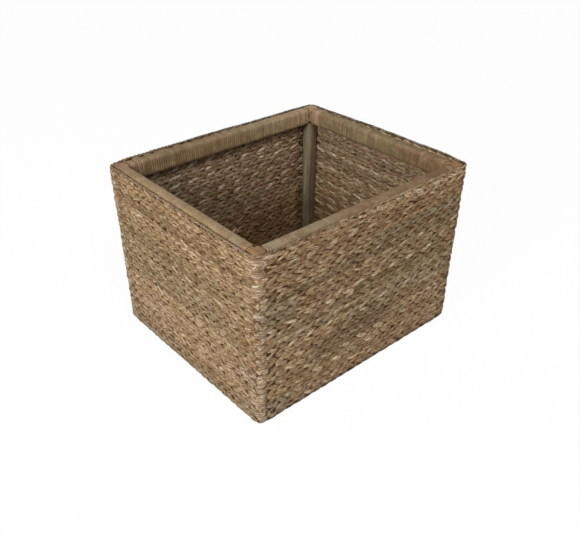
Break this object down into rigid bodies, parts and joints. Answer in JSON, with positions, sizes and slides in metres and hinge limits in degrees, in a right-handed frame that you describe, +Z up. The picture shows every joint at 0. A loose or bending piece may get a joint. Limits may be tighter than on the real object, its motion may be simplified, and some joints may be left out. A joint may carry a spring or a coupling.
{
  "type": "woven planter basket",
  "caption": "Open rectangular planter basket with a timber frame, rattan-wound rim and chevron-twined water hyacinth walls and floor.",
  "frame": {"origin": "on the surface that the basket stands on, under the middle of its outline", "axes": "+X along the long side, +Y along the short side away from the front, +Z up out of the open top"},
  "size_m": [0.437, 0.372, 0.3],
  "materials": {
    "hyacinth": "dry twined plant strands, matt",
    "border_cord": "twisted plant strands, matt",
    "mat_weave": "dry twined plant strands, matt",
    "rattan_peel": "natural peel, low sheen",
    "corner_peel": "natural peel, low sheen",
    "post_wood": "bare, weathered",
    "rail_wood": "bare, sawn",
    "base_wood": "bare, sawn",
    "peg_wood": "bare, turned"
  },
  "bodies": {
    "root": {"base_mat": "mat_weave", "base_rail_back": "base_wood", "base_rail_front": "base_wood", "base_rail_left": "base_wood", "base_rail_right": "base_wood", "base_slat_1": "base_wood", "base_slat_2": "base_wood", "base_slat_3": "base_wood", "corner_binding_back_left": "corner_peel", "corner_binding_back_right": "corner_peel", "corner_binding_front_left": "corner_peel", "corner_binding_front_right": "corner_peel", "peg_base_x_back_left": "peg_wood", "peg_base_x_back_right": "peg_wood", "peg_base_x_front_left": "peg_wood", "peg_base_x_front_right": "peg_wood", "peg_base_y_back_left": "peg_wood", "peg_base_y_back_right": "peg_wood", "peg_base_y_front_left": "peg_wood", "peg_base_y_front_right": "peg_wood", "peg_cross_back_left": "peg_wood", "peg_cross_back_right": "peg_wood", "peg_cross_front_left": "peg_wood", "peg_cross_front_right": "peg_wood", "peg_down_back_left": "peg_wood", "peg_down_back_right": "peg_wood", "peg_down_front_left": "peg_wood", "peg_down_front_right": "peg_wood", "post_back_left": "post_wood", "post_back_right": "post_wood", "post_front_left": "post_wood", "post_front_right": "post_wood", "rail_winding_back": "rattan_peel", "rail_winding_front": "rattan_peel", "rail_winding_left": "rattan_peel", "rail_winding_right": "rattan_peel", "top_rail_back": "rail_wood", "top_rail_front": "rail_wood", "top_rail_left": "rail_wood", "top_rail_right": "rail_wood", "weave_border": "border_cord", "weave_course_01": "hyacinth", "weave_course_02": "hyacinth", "weave_course_03": "hyacinth", "weave_course_04": "hyacinth", "weave_course_05": "hyacinth", "weave_course_06": "hyacinth", "weave_course_07": "hyacinth", "weave_course_08": "hyacinth", "weave_course_09": "hyacinth", "weave_course_10": "hyacinth", "weave_course_11": "hyacinth", "weave_course_12": "hyacinth", "weave_course_13": "hyacinth", "weave_course_14": "hyacinth", "weave_course_15": "hyacinth", "weave_course_16": "hyacinth", "weave_course_17": "hyacinth", "weave_course_18": "hyacinth"}
  },
  "joints": []
}
